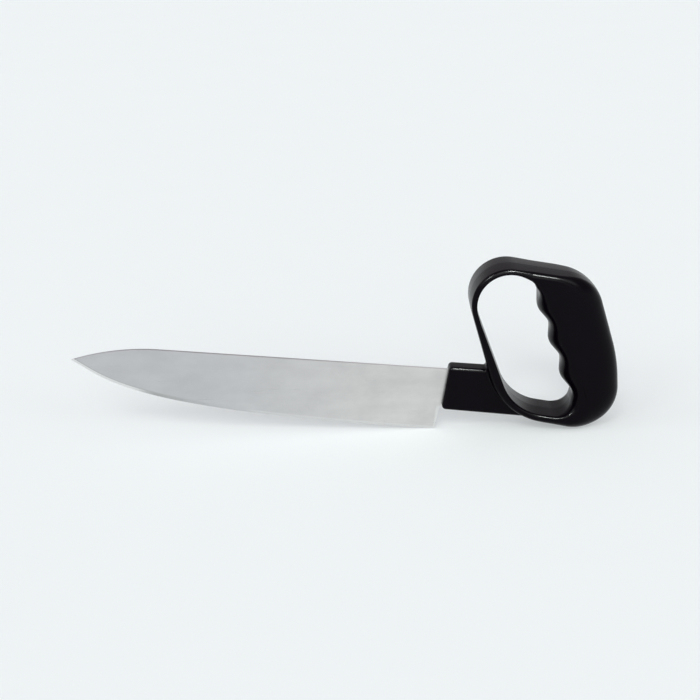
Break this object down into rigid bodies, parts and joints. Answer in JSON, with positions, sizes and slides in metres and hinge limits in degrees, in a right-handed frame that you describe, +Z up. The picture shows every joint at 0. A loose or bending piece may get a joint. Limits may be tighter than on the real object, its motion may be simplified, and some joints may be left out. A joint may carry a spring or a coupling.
{
  "type": "kitchen knife",
  "caption": "Kitchen knife with a broad pointed blade and an upright closed loop handle with finger grooves, held like a saw so that the wrist stays straight.",
  "frame": {"origin": "middle of the length and of the width, on the surface the knife stands on", "axes": "+X from the tip towards the handle, +Y from the near side of the knife to its far side, +Z up"},
  "size_m": [0.298, 0.0264, 0.0949],
  "materials": {
    "blade_steel": "satin",
    "handle_plastic": "satin black",
    "pin_steel": "turned"
  },
  "bodies": {
    "root": {"blade": "blade_steel", "handle_half_near": "handle_plastic", "handle_half_far": "handle_plastic", "tang_pin_front": "pin_steel", "tang_pin_rear": "pin_steel"}
  },
  "joints": []
}
